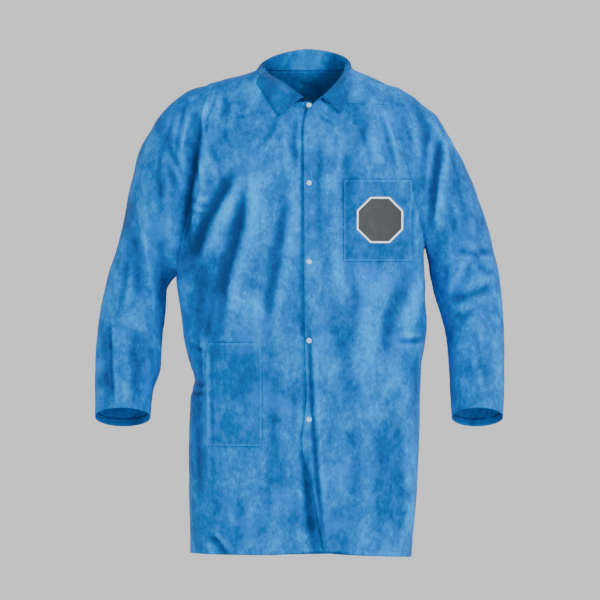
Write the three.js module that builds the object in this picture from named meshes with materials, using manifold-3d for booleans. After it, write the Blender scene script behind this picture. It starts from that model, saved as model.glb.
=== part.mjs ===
// Disposable lab coat, shown worn: collar, snap front, set-in sleeves, chest and hip pockets.
// Millimetres, +Z up. The front faces -Y and the wearer's left is +X. The origin is between the
// shoulder points, where whatever wears or hangs the coat holds it up.
import * as THREE from 'three';
import { mergeVertices } from 'three/addons/utils/BufferGeometryUtils.js';
import { LoftGeometry } from 'three/addons/geometries/LoftGeometry.js';
import Module from 'manifold-3d';

const wasm = await Module();
wasm.setup();

// ---------------------------------------------------------------- driving dimensions
const wall = 1.2; // one layer of cloth
const facingWall = 0.8; // folded-back strips and hems
const gap = 0.4; // clearance between two layers
const seamGap = 0.8; // slot at a seam between two panels
const armholeGap = 2.4; // slot between the armhole and the sleeve head

const coatLength = 915; // origin to hem
const chestHalfWidth = 242;
const hipHalfWidth = 227;
const halfDepth = 150; // chest, front to middle
const neckHalfWidth = 92;
const neckRise = 30; // neck point above the origin
const neckDrop = 36; // front neckline below the origin
const shoulderHalfWidth = 156;
const shoulderDrop = 5;
const armholeSlope = 0.25; // sideways run of the armhole plane for each mm down
const armpitClear = 3; // more room at the bottom of the armhole
const yokeBackDrop = 90;

const sleeveLength = 645; // origin level down to the middle of the cuff
const elbowDrop = 400;
const sleeveReach = 395; // x of the outer side of the forearm
const cuffWidth = 112;
const sleeveDepthAtElbow = 74; // half of it, front to back
const cuffHalfDepth = 56;
const forearmReach = 95; // how far forward the cuff hangs
const cuffTilt = 0.35; // the cuff's front is higher than its back

const overlap = 25; // left front over right front
const snapX = 5.5;
const snapCount = 5;
const firstSnapDrop = 44;
const snapPitch = 151;
const snapRadius = 5.2;
const capHeight = 2.2;
const prongRadius = 1.2;
const prongHole = 1.8;
const facingWidth = 40;
const hemHeight = 14;
const facetClear = 1.2; // between layers whose facets differ
const underDrop = 7.4; // the right front lies this far below the left front's outer face
const underlapRun = 53; // from the left front's edge back to where the right front starts to dip
const underlapLead = 5; // it is fully down this far before that edge
const snapFlangeRadius = 4.6; // socket, stud and post
const socketBoreRadius = 2.6;
const socketHeight = 2.2;
const studRadius = 2;
const flangeHeight = 1;
const labelSideways = 9; // from the middle of the pocket towards the side

const leftFlapStart = 205; // below the second snap
const leftFlapWidth = 136; // how much of the left front's hem turns back
const rightFlapStart = 354; // below the third snap
const rightFlapWidth = 130;

const chestPocketInset = 45; // from the side of the chest
const chestPocketWidth = 125;
const chestPocket = {
  x: chestHalfWidth - chestPocketInset - chestPocketWidth,
  z: -185,
  width: chestPocketWidth,
  height: 158,
  rise: 11,
};
const hipPocketInset = 34; // from the side of the hips
const hipPocket = { x: hipPocketInset - hipHalfWidth, z: -503, width: 106, height: 201, rise: 13 };
const pocketHemHeight = 20;
const pocketClear = 1.8;
const labelSize = 90; // across the flats
const labelBorder = 3.4;
const labelWall = 0.8;
const labelGap = 0.3; // between the white edge and the grey face

const collarRise = 72; // top of the roll line at the back
const collarTip = { x: 64, z: -56 };
const collarFallDrop = 22; // height of the leaf's lower edge at the back
const collarLift = 4; // leaf's edge above the shoulder cloth
const collarBulge = 9; // how far the leaf bows out over the neck seam

const hemZ = -coatLength;
const shoulderZ = -shoulderDrop;
const leftEdge = snapX - overlap / 2;
const rightEdge = snapX + overlap / 2;

// ---------------------------------------------------------------- materials
const cloth = (color) => new THREE.MeshStandardMaterial({ color, roughness: 0.85, metalness: 0 });
const bodyCloth = () => cloth(0x3b98cf);
const sleeveCloth = () => cloth(0x268cc8);
const pocketCloth = () => cloth(0x2a8ac4);
const collarCloth = () => cloth(0x1f7fbd);
const snapPlastic = () => new THREE.MeshStandardMaterial({ color: 0xe9edf0, roughness: 0.35, metalness: 0 });
const labelFilm = (color) => new THREE.MeshStandardMaterial({ color, roughness: 0.5, metalness: 0 });

// ---------------------------------------------------------------- small tools
// A smooth curve through [position, value] pairs that never overshoots, straight beyond its ends.
function curveThrough(points) {
  const rows = [...points].sort((p, q) => p[0] - q[0]);
  const secant = (i) => (rows[i + 1][1] - rows[i][1]) / (rows[i + 1][0] - rows[i][0]);
  const slope = (i) => {
    if (i === 0) return secant(0);
    if (i === rows.length - 1) return secant(i - 1);
    const [before, after] = [secant(i - 1), secant(i)];
    return before * after <= 0 ? 0 : (2 * before * after) / (before + after);
  };
  return (at) => {
    let i = 0;
    while (i < rows.length - 2 && at > rows[i + 1][0]) i++;
    const [x0, y0] = rows[i];
    const [x1, y1] = rows[i + 1];
    const span = x1 - x0;
    if (at < x0) return y0 + slope(i) * (at - x0);
    if (at > x1) return y1 + slope(i + 1) * (at - x1);
    const t = (at - x0) / span;
    const lift = t * t * (3 - 2 * t);
    const start = t * (1 - t) * (1 - t) * span * slope(i);
    const end = t * t * (t - 1) * span * slope(i + 1);
    return y0 + (y1 - y0) * lift + start + end;
  };
}

const lerp = THREE.MathUtils.lerp;
const smoothstep = THREE.MathUtils.smoothstep;
const steps = (count) => Array.from({ length: count + 1 }, (_, i) => i / count);

// The surface point moved along the surface normal; surface(u, v) gives a Vector3.
function offsetPoint(surface, u, v, distance, du = 1e-3, dv = 1e-3) {
  const along = surface(u + du, v).sub(surface(u - du, v));
  const across = surface(u, v + dv).sub(surface(u, v - dv));
  return surface(u, v).addScaledVector(along.cross(across).normalize(), distance);
}

// Only positions, shared corners merged, faces turned outwards.
function closedBody(geometry) {
  const plain = new THREE.BufferGeometry();
  plain.setAttribute('position', geometry.attributes.position);
  plain.setIndex(geometry.index);
  const merged = mergeVertices(plain, 1e-4);
  const p = merged.attributes.position;
  const index = Array.from(merged.index.array);
  const solid = [];
  let volume = 0;
  const [a, b, c] = [new THREE.Vector3(), new THREE.Vector3(), new THREE.Vector3()];
  for (let i = 0; i < index.length; i += 3) {
    const [i0, i1, i2] = index.slice(i, i + 3);
    if (i0 === i1 || i1 === i2 || i2 === i0) continue;
    solid.push(i0, i1, i2);
    a.fromBufferAttribute(p, i0);
    b.fromBufferAttribute(p, i1);
    c.fromBufferAttribute(p, i2);
    volume += a.dot(b.cross(c));
  }
  merged.setIndex(volume < 0 ? solid.reverse() : solid);
  merged.computeVertexNormals();
  return merged;
}

// A layer of cloth lofted over sections with an outer and an inner line each. The first and last
// sections are repeated with both lines on the outer one, which closes the two ends.
function clothLoft(sections, wraps = false) {
  const ring = ({ outer, inner }) => [...outer, ...[...inner].reverse()];
  const shut = ({ outer }) => ring({ outer, inner: outer });
  const rings = sections.map(ring);
  const all = wraps ? rings : [shut(sections[0]), ...rings, shut(sections[sections.length - 1])];
  return closedBody(new LoftGeometry(all));
}

// The same over a grid: pointAt(u, v, side) with side 1 on its outer face and 0 on its inner face.
function layer(pointAt, uCount, vCount, wraps = false) {
  const line = (u, side) => steps(vCount).map((v) => pointAt(u, v, side));
  return clothLoft(steps(uCount).map((u) => ({ outer: line(u, 1), inner: line(u, 0) })), wraps);
}

function toManifold(geometry) {
  const vertProperties = new Float32Array(geometry.attributes.position.array);
  const triVerts = new Uint32Array(geometry.index.array);
  return new wasm.Manifold(new wasm.Mesh({ numProp: 3, vertProperties, triVerts }));
}

function fromManifold(manifold) {
  const mesh = manifold.getMesh();
  const geometry = new THREE.BufferGeometry();
  geometry.setAttribute('position', new THREE.BufferAttribute(mesh.vertProperties, 3));
  geometry.setIndex(new THREE.BufferAttribute(mesh.triVerts, 1));
  geometry.computeVertexNormals();
  return geometry;
}

const cut = (geometry, tools) =>
  fromManifold(tools.reduce((rest, tool) => rest.subtract(toManifold(tool)), toManifold(geometry)));

const common = (geometry, tool) => fromManifold(toManifold(geometry).intersect(toManifold(tool)));

const coat = new THREE.Group();
function add(name, geometry, material) {
  const mesh = new THREE.Mesh(geometry, material);
  mesh.name = name;
  coat.add(mesh);
  return mesh;
}

// ---------------------------------------------------------------- body surface
// Level rings: half-width, half-depth and squareness of the ring at each height.
const halfWidthAt = curveThrough([
  [neckRise + 6, neckHalfWidth - 8],
  [neckRise, neckHalfWidth],
  [10, lerp(neckHalfWidth, shoulderHalfWidth, 0.68)],
  [shoulderZ, shoulderHalfWidth],
  [-25, 0.85 * chestHalfWidth],
  [-50, 0.93 * chestHalfWidth],
  [-100, 0.985 * chestHalfWidth],
  [-200, chestHalfWidth],
  [-320, 0.965 * chestHalfWidth],
  [-560, hipHalfWidth],
  [hemZ, 0.98 * hipHalfWidth],
]);
const halfDepthAt = curveThrough([
  [neckRise + 6, 0.38 * halfDepth],
  [neckRise, 0.42 * halfDepth],
  [shoulderZ, 0.57 * halfDepth],
  [-neckDrop, 0.68 * halfDepth],
  [-100, 0.88 * halfDepth],
  [-160, halfDepth],
  [hemZ, halfDepth],
]);
const squarenessAt = curveThrough([
  [neckRise, 3],
  [-100, 4.3],
  [-200, 4.5],
  [-380, 4.5],
  [-560, 3.5],
  [hemZ, 3.3],
]);

// angle -90 deg is the centre front, 0 the wearer's left side, 90 deg the centre back.
function bodyPoint(angle, z) {
  const n = squarenessAt(z);
  const [c, s] = [Math.cos(angle), Math.sin(angle)];
  const radius = (Math.abs(c) ** n + Math.abs(s) ** n) ** (1 / n);
  return new THREE.Vector3((halfWidthAt(z) * c) / radius, (halfDepthAt(z) * s) / radius, z);
}

function angleAt(x, z, back = false) {
  const n = squarenessAt(z);
  const u = THREE.MathUtils.clamp(x / halfWidthAt(z), -1, 1);
  const v = (1 - Math.abs(u) ** n) ** (1 / n);
  return Math.atan2(back ? v : -v, u);
}

const bodyOffset = (angle, z, distance) => offsetPoint(bodyPoint, angle, z, distance, 1e-3, 0.5);
const frontOffset = (x, z, distance) => bodyOffset(angleAt(x, z), z, distance);

// The armhole is where a leaning plane cuts the body; it closes at the armpit.
const armholeX = (z) => shoulderHalfWidth + armholeSlope * (shoulderZ - z);

function solve(f, low, high) {
  for (let i = 0; i < 60; i++) {
    const middle = (low + high) / 2;
    if (f(low) * f(middle) <= 0) high = middle;
    else low = middle;
  }
  return (low + high) / 2;
}
const armpitZ = solve((z) => halfWidthAt(z) - armholeX(z), -500, -120);

// Angle of a panel's outer edge on the wearer's left: the armhole, or the side seam below it.
function sideAngle(z, back) {
  const seamAngle = seamGap / 2 / halfDepth;
  if (z > shoulderZ || z <= armpitZ) return back ? seamAngle : -seamAngle;
  return angleAt(armholeX(z) - armholeGap / 2, z, back);
}
const mirrored = (angle) => (angle < 0 ? -Math.PI - angle : Math.PI - angle); // to the other side

// The right front dips under the left front near the middle.
const underlap = (x) => -underDrop * smoothstep(x, leftEdge - underlapRun, leftEdge - underlapLead);

// ---------------------------------------------------------------- front panels and their hinge lines
const flapLine = {
  left: (z) => lerp(leftEdge, leftEdge + leftFlapWidth, (z + leftFlapStart) / (hemZ + leftFlapStart)),
  right: (z) => lerp(rightEdge, rightEdge - rightFlapWidth, (z + rightFlapStart) / (hemZ + rightFlapStart)),
};

// Heights that every sheet has a row at, so that the layers of one front run parallel.
const sharedHeights = [
  ...steps(9).map((t) => lerp(-neckDrop - 1, -162, t)),
  -leftFlapStart,
  armpitZ + 12,
  armpitZ - 1,
  -rightFlapStart,
  ...[0.25, 0.5, 0.75].map((t) => lerp(-rightFlapStart, hemZ, t)),
].sort((p, q) => q - p);

function heights(top, bottom) {
  return [top, ...sharedHeights.filter((z) => z < top - 2 && z > bottom + 2), bottom];
}

// A sheet between two edges, given as angles at each height; its depth counts inwards.
function sheet({ top, bottom, from, to, depth = 0, thickness = wall, under = false, columns = 12 }) {
  const line = (z, inwards) =>
    steps(columns).map((u) => {
      const angle = lerp(from(z), to(z), u);
      const drop = under ? underlap(bodyPoint(angle, z).x) : 0;
      return bodyOffset(angle, z, drop - inwards);
    });
  const section = (z) => ({ outer: line(z, depth), inner: line(z, depth + thickness) });
  return clothLoft(heights(top, bottom).map(section));
}

const atX = (edge) => (z) => angleAt(edge(z), z);
const facingDepth = wall + gap;
const fixedLeftEdge = (z) =>
  z > -leftFlapStart ? leftEdge : Math.max(leftEdge, flapLine.left(z) + seamGap);
const fixedRightEdge = (z) =>
  z > -rightFlapStart ? rightEdge : Math.min(rightEdge, flapLine.right(z) - seamGap);
const leftSide = (z) => sideAngle(z, false);
const rightSide = (z) => mirrored(sideAngle(z, false));

const snapDrops = Array.from({ length: snapCount }, (_, i) => firstSnapDrop + i * snapPitch);
const snapFrames = snapDrops.map((drop) => {
  const foot = frontOffset(snapX, -drop, 0);
  const out = frontOffset(snapX, -drop, 1).sub(foot);
  return { foot, turn: new THREE.Quaternion().setFromUnitVectors(new THREE.Vector3(0, 1, 0), out) };
});

function snapHole(frame, deep) {
  const tool = new THREE.CylinderGeometry(prongHole, prongHole, deep, 10);
  tool.translate(0, -deep / 2 + 2, 0);
  tool.applyQuaternion(frame.turn);
  tool.translate(frame.foot.x, frame.foot.y, frame.foot.z);
  return closedBody(tool);
}
const leftHoles = snapFrames.map((frame) => snapHole(frame, 5));
const rightHoles = snapFrames.map((frame) => snapHole(frame, 14));
const leftFixedSnaps = snapDrops.map((drop) => drop < leftFlapStart);
const rightFixedSnaps = snapDrops.map((drop) => drop < rightFlapStart);
const pick = (list, flags, wanted) => list.filter((_, i) => flags[i] === wanted);

function frontPanels() {
  const span = { top: -neckDrop, bottom: hemZ, columns: 15 };
  const left = sheet({ ...span, from: atX(fixedLeftEdge), to: leftSide });
  const right = sheet({ ...span, from: atX(fixedRightEdge), to: rightSide, under: true });
  add('left_front_panel', cut(left, pick(leftHoles, leftFixedSnaps, true)), bodyCloth());
  add('right_front_panel', cut(right, pick(rightHoles, rightFixedSnaps, true)), bodyCloth());
}

// The lower corners of the two fronts, which swing open about slanting lines.
function frontFlaps() {
  const left = sheet({
    top: -leftFlapStart - 14,
    bottom: hemZ,
    from: atX(() => leftEdge),
    to: atX((z) => flapLine.left(z) - seamGap),
    columns: 6,
  });
  const right = sheet({
    top: -rightFlapStart - 14,
    bottom: hemZ,
    from: atX((z) => flapLine.right(z) + seamGap),
    to: atX(() => rightEdge),
    under: true,
    columns: 8,
  });
  add('left_front_flap', cut(left, pick(leftHoles, leftFixedSnaps, false)), bodyCloth());
  add('right_front_flap', cut(right, pick(rightHoles, rightFixedSnaps, false)), bodyCloth());
}

// Strips folded back behind the two free edges.
function facings() {
  const strip = { depth: facingDepth, thickness: facingWall, columns: 3 };
  const leftInner = leftEdge + facingWidth;
  const rightInner = rightEdge - facingWidth;
  const leftFixed = sheet({
    ...strip,
    top: -neckDrop - 1,
    bottom: -leftFlapStart,
    from: atX(() => leftEdge + 0.5),
    to: atX(() => leftInner),
  });
  const leftFlap = sheet({
    ...strip,
    top: -leftFlapStart - 14,
    bottom: hemZ + 1,
    from: atX(() => leftEdge + 0.5),
    to: atX((z) => Math.min(leftInner, flapLine.left(z) - seamGap)),
  });
  const rightFixed = sheet({
    ...strip,
    top: -neckDrop - 1,
    bottom: -rightFlapStart,
    from: atX(() => rightInner),
    to: atX(() => rightEdge - 0.5),
    under: true,
  });
  const rightFlap = sheet({
    ...strip,
    top: -rightFlapStart - 14,
    bottom: hemZ + 1,
    from: atX((z) => Math.max(rightInner, flapLine.right(z) + seamGap)),
    to: atX(() => rightEdge - 0.5),
    under: true,
  });
  add('left_facing', cut(leftFixed, pick(leftHoles, leftFixedSnaps, true)), bodyCloth());
  add('left_flap_facing', cut(leftFlap, pick(leftHoles, leftFixedSnaps, false)), bodyCloth());
  add('right_facing', cut(rightFixed, pick(rightHoles, rightFixedSnaps, true)), bodyCloth());
  add('right_flap_facing', cut(rightFlap, pick(rightHoles, rightFixedSnaps, false)), bodyCloth());
}

// ---------------------------------------------------------------- back and yoke
function backPanel() {
  const from = (z) => sideAngle(z, true);
  const to = (z) => mirrored(from(z));
  add('back_panel', sheet({ top: -yokeBackDrop - seamGap, bottom: hemZ, from, to, columns: 20 }), bodyCloth());
}

// Neckline and outer edge of the yoke on the wearer's left, from front (0) over the shoulder (1)
// to the centre back (2), as x and z on the body surface.
function neckline(q) {
  const x = neckHalfWidth * Math.sin((q * Math.PI) / 2);
  const z = q < 1 ? -neckDrop + (neckDrop + neckRise) * (1 - Math.cos((q * Math.PI) / 2)) : neckRise;
  return { x, z };
}

const yokeMarks = { front: 0.25, frontCorner: 0.7, backCorner: 1.45 };
const armholeEdge = (z) => Math.min(armholeX(z) - armholeGap / 2, halfWidthAt(z));
function yokeEdge(q) {
  const { front, frontCorner, backCorner } = yokeMarks;
  const frontZ = -neckDrop + seamGap;
  const share = (low, high) => (q - low) / (high - low);
  if (q < frontCorner) {
    return { x: lerp(neckline(front).x, armholeEdge(frontZ), share(front, frontCorner)), z: frontZ };
  }
  if (q < backCorner) {
    const upFront = lerp(frontZ, shoulderZ, share(frontCorner, 1));
    const downBack = lerp(shoulderZ, -yokeBackDrop, share(1, backCorner));
    const z = q < 1 ? upFront : downBack;
    return { x: armholeEdge(z), z };
  }
  return { x: lerp(armholeEdge(-yokeBackDrop), 0, share(backCorner, 2)), z: -yokeBackDrop };
}

function shoulderYoke() {
  const { front, frontCorner, backCorner } = yokeMarks;
  const columns = [
    ...steps(6).map((t) => lerp(front, frontCorner, t)),
    ...[0.8, 0.9, 0.96, 1, 1.04, 1.1, 1.2, 1.3, 1.4],
    ...steps(5).map((t) => lerp(backCorner, 2, t)),
  ];
  const halves = [...columns, ...columns.slice(0, -1).reverse().map((q) => -q)];
  const sections = halves.map((signed) => {
    const q = Math.abs(signed);
    const [inner, outer] = [neckline(q), yokeEdge(q)];
    const line = (depth) =>
      steps(5).map((t) => {
        const z = lerp(inner.z, outer.z, t);
        const share = lerp(inner.x / halfWidthAt(inner.z), outer.x / halfWidthAt(outer.z), t);
        const limit = z < shoulderZ ? armholeEdge(z) - 1.5 * (1 - t) : Infinity;
        const angle = angleAt(Math.min(share * halfWidthAt(z), limit), z, q > 1);
        return bodyOffset(signed < 0 ? mirrored(angle) : angle, z, -depth);
      });
    return { outer: line(0), inner: line(wall) };
  });
  add('shoulder_yoke', clothLoft(sections), bodyCloth());
}

// ---------------------------------------------------------------- collar
const collarClear = 1.4; // above the neck edge
const otherSide = (p) => new THREE.Vector3(-p.x, p.y, p.z);
const fullTurn = (half) => [...half, ...half.slice(0, -1).reverse().map(otherSide)];

// The roll line, from the front on the wearer's left round the back.
const rollDepth = (share) => share * halfDepth;
const rollLine = new THREE.CatmullRomCurve3(
  fullTurn([
    new THREE.Vector3(0.2 * neckHalfWidth, -rollDepth(0.69), -neckDrop + 8),
    new THREE.Vector3(0.46 * neckHalfWidth, -rollDepth(0.63), -neckDrop + 23),
    new THREE.Vector3(0.7 * neckHalfWidth, -rollDepth(0.46), lerp(-neckDrop, collarRise, 0.42)),
    new THREE.Vector3(0.86 * neckHalfWidth, -rollDepth(0.2), lerp(-neckDrop, collarRise, 0.67)),
    new THREE.Vector3(0.9 * neckHalfWidth, rollDepth(0.06), lerp(-neckDrop, collarRise, 0.84)),
    new THREE.Vector3(0.62 * neckHalfWidth, rollDepth(0.3), collarRise - 6),
    new THREE.Vector3(0, rollDepth(0.4), collarRise),
  ]),
);

function collarStand() {
  const foot = (t) => {
    const q = t < 0.5 ? lerp(0.17, 2, t * 2) : lerp(2, 0.17, t * 2 - 1);
    const { x, z } = neckline(q);
    const angle = angleAt(x, z, q > 1);
    return bodyPoint(t < 0.5 ? angle : mirrored(angle), z).add(new THREE.Vector3(0, 0, collarClear));
  };
  const surface = (t, r) => foot(t).lerp(rollLine.getPoint(t), r);
  const pointAt = (u, v, side) =>
    offsetPoint(surface, lerp(0.002, 0.998, u), v, side ? 0 : wall, 1e-3, 1e-3);
  add('collar_stand', layer(pointAt, 36, 3), collarCloth());
}

// The leaf's lower edge, from its tip over the shoulder to the centre back, just above the cloth.
const leafEdge = new THREE.CatmullRomCurve3(
  fullTurn([
    frontOffset(collarTip.x, collarTip.z, collarLift),
    frontOffset(collarTip.x + 20, collarTip.z + 28, collarLift),
    frontOffset(collarTip.x + 33, lerp(collarTip.z, collarFallDrop, 0.75), collarLift),
    bodyOffset(0, collarFallDrop, collarLift),
    bodyOffset(Math.PI / 4, collarFallDrop, collarLift),
    bodyOffset(Math.PI / 2, collarFallDrop, collarLift),
  ]),
);

function collarFall() {
  const surface = (t, r) => {
    const top = rollLine.getPoint(lerp(0.035, 0.965, t)).add(new THREE.Vector3(0, 0, wall));
    return top.lerp(leafEdge.getPoint(t), r);
  };
  const bulge = (r) => 2.2 + collarBulge * Math.sin(Math.PI * r) * (1 - r);
  const pointAt = (u, v, side) =>
    offsetPoint(surface, lerp(0.002, 0.998, u), v, -(bulge(v) + (side ? wall : 0)), 1e-3, 1e-3);
  add('collar_fall', layer(pointAt, 36, 4), collarCloth());
}

// ---------------------------------------------------------------- pockets and label
// A patch over the front between x and z limits, from one height above the cloth to another.
function patch(area, inset, low, high, topExtra = 0, columns = 8, rows = 5) {
  return layer((u, v, side) => {
    const x = lerp(area.x + inset, area.x + area.width - inset, u);
    const z = lerp(area.z + topExtra, area.z - area.height + inset, v);
    return frontOffset(x, z, side ? high : low);
  }, columns, rows);
}

function pocket(name, area) {
  const bag = cut(patch(area, 0, pocketClear, area.rise), [patch(area, wall, -2, area.rise - wall, 8)]);
  add(name, bag, pocketCloth());
  const hemArea = { ...area, height: pocketHemHeight };
  const outer = area.rise - wall - gap;
  const hem = patch(hemArea, wall + gap, outer - facingWall, outer, -0.5, 8, 1);
  add(`${name}_hem`, hem, pocketCloth());
}

function octagon(size) {
  const shape = new THREE.Shape();
  const radius = size / 2 / Math.cos(Math.PI / 8);
  for (let i = 0; i < 8; i++) {
    const turn = Math.PI / 8 + (i * Math.PI) / 4;
    shape[i ? 'lineTo' : 'moveTo'](radius * Math.cos(turn), radius * Math.sin(turn));
  }
  shape.closePath();
  const prism = new THREE.ExtrudeGeometry(shape, { depth: halfDepth * 2, bevelEnabled: false });
  prism.rotateX(Math.PI / 2);
  const middleX = chestPocket.x + chestPocket.width / 2 + labelSideways;
  prism.translate(middleX, 0, chestPocket.z - chestPocket.height / 2);
  return closedBody(prism);
}

function label() {
  const low = chestPocket.rise + gap;
  const area = { ...chestPocket, x: chestPocket.x + 6, width: chestPocket.width - 8 };
  const film = () => patch(area, 0, low, low + labelWall, -4, 10, 6);
  const faceSize = labelSize - 2 * labelBorder;
  const border = cut(common(film(), octagon(labelSize)), [octagon(faceSize)]);
  add('label_border', border, labelFilm(0xeef1f2));
  add('label_face', common(film(), octagon(faceSize - 2 * labelGap)), labelFilm(0x525f62));
}

// ---------------------------------------------------------------- hems
function bodyHems() {
  const strip = { top: hemZ + hemHeight, bottom: hemZ + 1, depth: wall + facetClear, thickness: facingWall };
  const clear = 2; // from the facings and the hinge lines
  const sideClear = 0.02; // radians from the side seam
  const backEdge = (z) => sideAngle(z, true) + sideClear;
  const leftFacingEnd = leftEdge + facingWidth + clear;
  const rightFacingEnd = rightEdge - facingWidth - clear;
  const sheets = {
    left_flap_hem: { from: atX(() => leftFacingEnd), to: atX((z) => flapLine.left(z) - clear) },
    left_side_hem: { from: atX((z) => flapLine.left(z) + clear), to: (z) => leftSide(z) - sideClear },
    right_flap_hem: { from: atX((z) => flapLine.right(z) + clear), to: atX(() => rightFacingEnd), under: true },
    right_side_hem: {
      from: (z) => rightSide(z) + sideClear,
      to: atX((z) => flapLine.right(z) - clear),
      under: true,
    },
    back_hem: { from: backEdge, to: (z) => mirrored(backEdge(z)), columns: 20 },
  };
  for (const [name, limits] of Object.entries(sheets)) {
    add(name, sheet({ ...strip, ...limits }), bodyCloth());
  }
}

// ---------------------------------------------------------------- sleeves
const outerCurve = curveThrough([
  [shoulderZ, 0], [-25, 0.25], [-49, 0.415], [-88, 0.54], [-146, 0.665], [-205, 0.757], [-263, 0.824],
  [-322, 0.883], [-elbowDrop, 0.954], [-elbowDrop - 75, 0.995], [-sleeveLength, 1],
]);
const outerX = (z) => lerp(shoulderHalfWidth, sleeveReach, outerCurve(z));
const armpitX = armholeX(armpitZ);
const innerX = curveThrough([
  [armpitZ, armpitX],
  [armpitZ - 30, armpitX + 5],
  [-elbowDrop, lerp(armpitX, sleeveReach - cuffWidth, 0.46)],
  [-elbowDrop - 100, lerp(armpitX, sleeveReach - cuffWidth, 0.9)],
  [-sleeveLength, sleeveReach - cuffWidth],
]);
const sleeveHalfDepth = curveThrough([
  [0, 112],
  [0.5, 96],
  [1, sleeveDepthAtElbow],
  [1.5, 0.5 * (sleeveDepthAtElbow + cuffHalfDepth)],
  [2, cuffHalfDepth],
]);
const sleeveForward = curveThrough([
  [0, 0],
  [0.5, 0],
  [1, 8],
  [1.5, 0.45 * forearmReach],
  [2, forearmReach],
]);

// Half-depth of the armhole at a height.
function armholeDepth(z) {
  return -bodyPoint(angleAt(Math.min(armholeX(z), halfWidthAt(z)), z), z).y;
}

// s runs 0 at the armhole, 1 at the elbow, 2 at the cuff; the angle is 0 outside, 90 deg behind.
function sleevePoint(angle, s) {
  const forearmZ = lerp(-elbowDrop, -sleeveLength, s - 1);
  const high = s < 1 ? lerp(shoulderZ, -elbowDrop, s) : forearmZ;
  const low = s < 1 ? lerp(armpitZ, -elbowDrop, s) : forearmZ;
  const share = (1 + Math.cos(angle)) / 2;
  const z = lerp(low, high, share);
  const clear = armholeGap / 2 + armpitClear * (1 - share) ** 4;
  const x = lerp(innerX(low), outerX(high), share) + clear * (1 - smoothstep(s, 0, 0.6));
  const round = Math.sin(angle) * sleeveHalfDepth(s);
  const head = Math.sign(Math.sin(angle)) * armholeDepth(lerp(armpitZ, shoulderZ, share));
  const y = lerp(head, round, smoothstep(s, 0, 0.45));
  const tilt = cuffTilt * smoothstep(s, 1, 2);
  return new THREE.Vector3(x, y - sleeveForward(s), z - tilt * y);
}

function sleeveTube(sign, rows, outer, inner) {
  const pointAt = (u, v, side) => {
    const at = v * (rows.length - 1);
    const s = lerp(rows[Math.floor(at)], rows[Math.ceil(at)], at - Math.floor(at));
    const point = offsetPoint(sleevePoint, u * 2 * Math.PI, s, side ? -outer : -inner, 1e-3, 1e-3);
    return new THREE.Vector3(sign * point.x, point.y, point.z);
  };
  return layer(pointAt, 22, rows.length - 1, true);
}

const elbowGap = 0.003;
function sleeve(side, sign) {
  const upperRows = steps(9).map((t) => t ** 1.6 * (1 - elbowGap));
  const lowerRows = steps(6).map((t) => lerp(1 + elbowGap, 2, t));
  const hemRows = [2 - hemHeight / (sleeveLength - elbowDrop), 2 - 0.004];
  add(`${side}_sleeve_upper`, sleeveTube(sign, upperRows, 0, -wall), sleeveCloth());
  add(`${side}_sleeve_lower`, sleeveTube(sign, lowerRows, 0, -wall), sleeveCloth());
  const hemDepth = wall + facetClear;
  add(`${side}_cuff_hem`, sleeveTube(sign, hemRows, -hemDepth, -hemDepth - facingWall), sleeveCloth());
}

// ---------------------------------------------------------------- snaps
// Each snap is four turned pieces on one axis; heights count outwards from the left front's face.
function turned(profile) {
  return closedBody(new THREE.LatheGeometry(profile.map(([r, h]) => new THREE.Vector2(r, h)), 12));
}

function snap(number, frame) {
  const facing = -facingDepth - facingWall;
  const rightFace = -underDrop;
  const rightInner = rightFace - wall - gap - facingWall;
  const socketTop = facing - gap;
  const studFoot = rightFace + gap;
  const pieces = {
    cap: [
      [0, capHeight],
      [0.5 * snapRadius, capHeight - 0.2],
      [0.85 * snapRadius, capHeight - 0.8],
      [snapRadius, gap + 0.2],
      [snapRadius, gap],
      [prongRadius, gap],
      [prongRadius, facing - 0.1],
      [0, facing - 0.1],
    ],
    socket: [
      [socketBoreRadius, socketTop],
      [snapFlangeRadius, socketTop],
      [snapFlangeRadius, socketTop - socketHeight],
      [socketBoreRadius, socketTop - socketHeight],
      [socketBoreRadius, socketTop],
    ],
    stud: [
      [0, socketTop - gap],
      [studRadius, socketTop - gap],
      [studRadius, studFoot + 0.8],
      [snapFlangeRadius, studFoot + 0.8],
      [snapFlangeRadius, studFoot],
      [0, studFoot],
    ],
    post: [
      [0, rightFace + 0.1],
      [prongRadius, rightFace + 0.1],
      [prongRadius, rightInner - gap],
      [snapFlangeRadius, rightInner - gap],
      [snapFlangeRadius, rightInner - gap - flangeHeight],
      [0, rightInner - gap - flangeHeight],
    ],
  };
  for (const [kind, profile] of Object.entries(pieces)) {
    const mesh = add(`snap_${kind}_${number}`, turned(profile), snapPlastic());
    mesh.position.copy(frame.foot);
    mesh.quaternion.copy(frame.turn);
  }
}

// ---------------------------------------------------------------- the coat
backPanel();
shoulderYoke();
frontPanels();
frontFlaps();
facings();
bodyHems();
collarStand();
collarFall();
pocket('chest_pocket', chestPocket);
pocket('hip_pocket', hipPocket);
label();
sleeve('left', 1);
sleeve('right', -1);
snapFrames.forEach((frame, i) => snap(i + 1, frame));

export default coat;
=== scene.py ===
from math import atan2, cos, pi, radians, sin
import bmesh
import bpy
import numpy as np
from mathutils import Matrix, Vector, noise


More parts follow.
